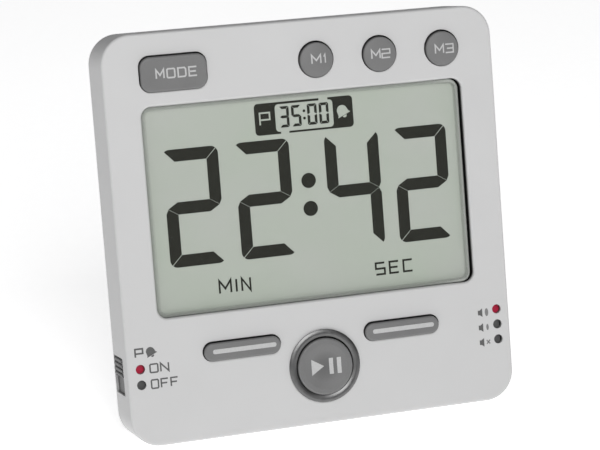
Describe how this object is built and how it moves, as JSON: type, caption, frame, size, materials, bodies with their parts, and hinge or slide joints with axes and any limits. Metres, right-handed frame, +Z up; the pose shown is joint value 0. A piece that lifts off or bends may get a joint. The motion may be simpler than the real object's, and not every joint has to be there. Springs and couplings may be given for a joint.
{
  "type": "digital countdown timer",
  "caption": "Square digital countdown timer with a large display, push keys, side slide switches, a magnetic back and a fold-out leg that it leans back on.",
  "frame": {"origin": "on the surface it stands on, under the centre of its overall box", "axes": "+X across the face to the viewer's right, +Y from the face to the back, +Z up; the face looks towards -Y and leans back 14 degrees"},
  "size_m": [0.1004, 0.0424, 0.1001],
  "materials": {
    "shell": "fine moulded light grey-white, satin",
    "cover": "fine moulded light grey-white, satin",
    "lens": "clear acrylic, hard coated",
    "ring": "dark plated, glossy",
    "keys": "mid grey, satin",
    "display_glass": "flat glass",
    "reflector": "grey-green reflective film",
    "inner_white": "moulded",
    "zebra": "silicone with carbon layers",
    "board": "solder mask",
    "epoxy": "black",
    "steel": "nickel plated",
    "sleeve": "shrink sleeve",
    "keypad": "silicone",
    "slider": "mid grey, satin",
    "marker": "deep red",
    "brass": "thin sheet",
    "ceramic": "fired ceramic",
    "lead_red": "insulated wire",
    "lead_black": "insulated wire",
    "cell_wrap": "plain wrapped cell",
    "magnet": "nickel plated"
  },
  "bodies": {
    "housing": {"front_shell": "shell", "back_cover": "cover", "window_lens": "lens", "start_ring": "ring", "lcd_front_glass": "display_glass", "lcd_back_glass": "display_glass", "lcd_reflector": "reflector", "lcd_holder": "inner_white", "zebra_strip": "zebra", "main_board": "board", "chip_blob": "epoxy", "quartz_crystal": "steel", "capacitor": "sleeve", "upper_keypad": "keypad", "lower_keypad": "keypad", "left_switch_case": "steel", "right_switch_case": "steel", "piezo_plate": "brass", "piezo_ceramic": "ceramic", "buzzer_leads": "lead_red", "battery_leads": "lead_black", "cells": "cell_wrap", "contact_springs": "steel", "bridge_contact": "steel", "end_contacts": "steel", "magnets": "magnet", "board_screws": "steel", "case_screws": "steel"},
    "mode_key": {"mode_key": "keys"},
    "memory_key_1": {"memory_key_1": "keys"},
    "memory_key_2": {"memory_key_2": "keys"},
    "memory_key_3": {"memory_key_3": "keys"},
    "left_slot_key": {"left_slot_key": "keys"},
    "right_slot_key": {"right_slot_key": "keys"},
    "start_key": {"start_key": "keys"},
    "left_switch": {"left_switch_knob": "slider", "left_marker": "marker", "left_switch_nub": "epoxy"},
    "right_switch": {"right_switch_knob": "slider", "right_marker": "marker", "right_switch_nub": "epoxy"},
    "battery_door": {"battery_door": "cover"},
    "leg": {"leg": "cover"}
  },
  "joints": [
    {"name": "mode_key_press", "type": "slide", "parent": "housing", "child": "mode_key", "axis": [0, 0.9703, -0.2419], "range_m": [0, 0.0007], "stiffness_N_per_m": 1500, "springref_m": -0.0002},
    {"name": "memory_key_1_press", "type": "slide", "parent": "housing", "child": "memory_key_1", "axis": [0, 0.9703, -0.2419], "range_m": [0, 0.0007], "stiffness_N_per_m": 1500, "springref_m": -0.0002},
    {"name": "memory_key_2_press", "type": "slide", "parent": "housing", "child": "memory_key_2", "axis": [0, 0.9703, -0.2419], "range_m": [0, 0.0007], "stiffness_N_per_m": 1500, "springref_m": -0.0002},
    {"name": "memory_key_3_press", "type": "slide", "parent": "housing", "child": "memory_key_3", "axis": [0, 0.9703, -0.2419], "range_m": [0, 0.0007], "stiffness_N_per_m": 1500, "springref_m": -0.0002},
    {"name": "left_slot_key_press", "type": "slide", "parent": "housing", "child": "left_slot_key", "axis": [0, 0.9703, -0.2419], "range_m": [0, 0.0007], "stiffness_N_per_m": 1500, "springref_m": -0.0002},
    {"name": "right_slot_key_press", "type": "slide", "parent": "housing", "child": "right_slot_key", "axis": [0, 0.9703, -0.2419], "range_m": [0, 0.0007], "stiffness_N_per_m": 1500, "springref_m": -0.0002},
    {"name": "start_key_press", "type": "slide", "parent": "housing", "child": "start_key", "axis": [0, 0.9703, -0.2419], "range_m": [0, 0.0007], "stiffness_N_per_m": 1500, "springref_m": -0.0002},
    {"name": "left_switch_slide", "type": "slide", "parent": "housing", "child": "left_switch", "axis": [0, 0.2419, 0.9703], "range_m": [-0.00385, 0]},
    {"name": "right_switch_slide", "type": "slide", "parent": "housing", "child": "right_switch", "axis": [0, 0.2419, 0.9703], "range_m": [-0.0077, 0]},
    {"name": "battery_door_hinge", "type": "hinge", "parent": "housing", "child": "battery_door", "pos_m": [0, 0.01378, 0.06469], "axis": [-1, 0, 0], "range_deg": [0, 90]},
    {"name": "leg_hinge", "type": "hinge", "parent": "housing", "child": "leg", "pos_m": [0, 0.0106, 0.05708], "axis": [-1, 0, 0], "range_deg": [0, 22]}
  ]
}
